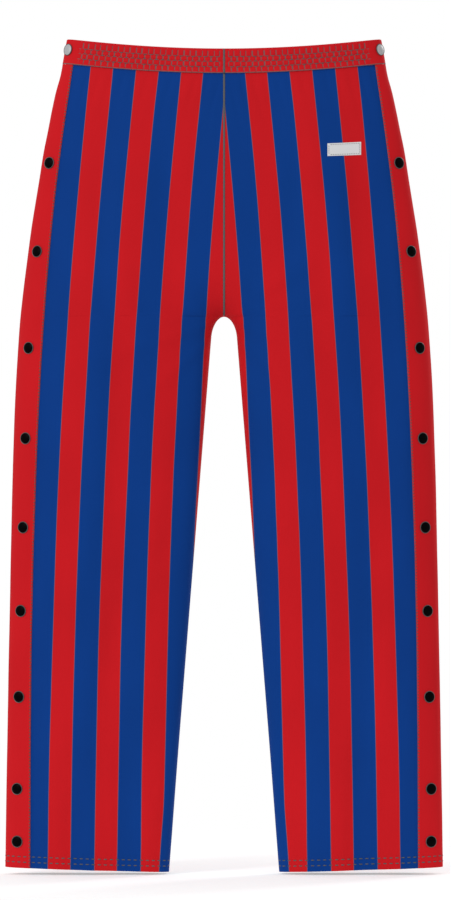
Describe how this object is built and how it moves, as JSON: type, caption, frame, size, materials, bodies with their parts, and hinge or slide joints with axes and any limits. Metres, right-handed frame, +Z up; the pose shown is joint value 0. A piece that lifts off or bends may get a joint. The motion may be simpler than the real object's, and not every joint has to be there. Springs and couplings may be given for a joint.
{
  "type": "hockey pants",
  "caption": "Full-length striped knit pants with an elastic waistband and snap-front side plackets; the front drops open and each back leg swings clear.",
  "frame": {"origin": "centre of the waist opening, at the height of the waistband's highest points", "axes": "+Z up out of the waist, -Y towards the front, +X towards the wearer's left leg"},
  "size_m": [0.5616, 0.088, 1.0668],
  "materials": {
    "blue_knit": "matte polyester knit, blue with printed red stripes",
    "red_knit": "matte polyester knit, red",
    "waistband_knit": "gathered polyester knit, red and blue",
    "elastic": "woven elastic webbing",
    "label_grey": "plain woven label",
    "label_white": "plain satin tape, no print",
    "snap_black": "black enamel",
    "snap_steel": "nickel-plated"
  },
  "bodies": {
    "pants_body": {"back_waistband_left": "waistband_knit", "back_panel_left_hip": "blue_knit", "front_panel_left_leg": "blue_knit", "back_placket_left_hip": "red_knit", "front_placket_left_leg": "red_knit", "leg_snap_caps_left": "snap_black", "leg_snap_sockets_left": "snap_steel", "hip_snap_studs_left": "snap_steel", "hip_snap_rings_left": "snap_steel", "waist_snap_stud_left": "snap_steel", "waist_snap_ring_left": "snap_steel", "back_waistband_right": "waistband_knit", "back_panel_right_hip": "blue_knit", "front_panel_right_leg": "blue_knit", "back_placket_right_hip": "red_knit", "front_placket_right_leg": "red_knit", "leg_snap_caps_right": "snap_black", "leg_snap_sockets_right": "snap_steel", "hip_snap_studs_right": "snap_steel", "hip_snap_rings_right": "snap_steel", "waist_snap_stud_right": "snap_steel", "waist_snap_ring_right": "snap_steel", "back_elastic": "elastic", "care_label": "label_white"},
    "front_flap": {"front_waistband_left": "waistband_knit", "front_panel_left_hip": "blue_knit", "front_placket_left_hip": "red_knit", "hip_snap_caps_left": "snap_black", "hip_snap_sockets_left": "snap_steel", "waist_snap_cap_left": "snap_steel", "waist_snap_socket_left": "snap_steel", "front_waistband_right": "waistband_knit", "front_panel_right_hip": "blue_knit", "front_placket_right_hip": "red_knit", "hip_snap_caps_right": "snap_black", "hip_snap_sockets_right": "snap_steel", "waist_snap_cap_right": "snap_steel", "waist_snap_socket_right": "snap_steel", "front_elastic": "elastic", "hip_label": "label_grey"},
    "left_back_leg": {"back_panel_left_leg": "blue_knit", "back_placket_left_leg": "red_knit", "leg_snap_studs_left": "snap_steel", "leg_snap_rings_left": "snap_steel"},
    "right_back_leg": {"back_panel_right_leg": "blue_knit", "back_placket_right_leg": "red_knit", "leg_snap_studs_right": "snap_steel", "leg_snap_rings_right": "snap_steel"}
  },
  "joints": [
    {"name": "front_flap_drop", "type": "hinge", "parent": "pants_body", "child": "front_flap", "pos_m": [0, -0.0455, -0.2983], "axis": [1, 0, 0], "range_deg": [0, 165]},
    {"name": "left_back_leg_open", "type": "hinge", "parent": "pants_body", "child": "left_back_leg", "pos_m": [0.02288, 0, -0.463], "axis": [-0.0795, 0, 0.9968], "range_deg": [0, 60]},
    {"name": "right_back_leg_open", "type": "hinge", "parent": "pants_body", "child": "right_back_leg", "pos_m": [-0.02288, 0, -0.463], "axis": [-0.0795, 0, -0.9968], "range_deg": [0, 60]}
  ]
}
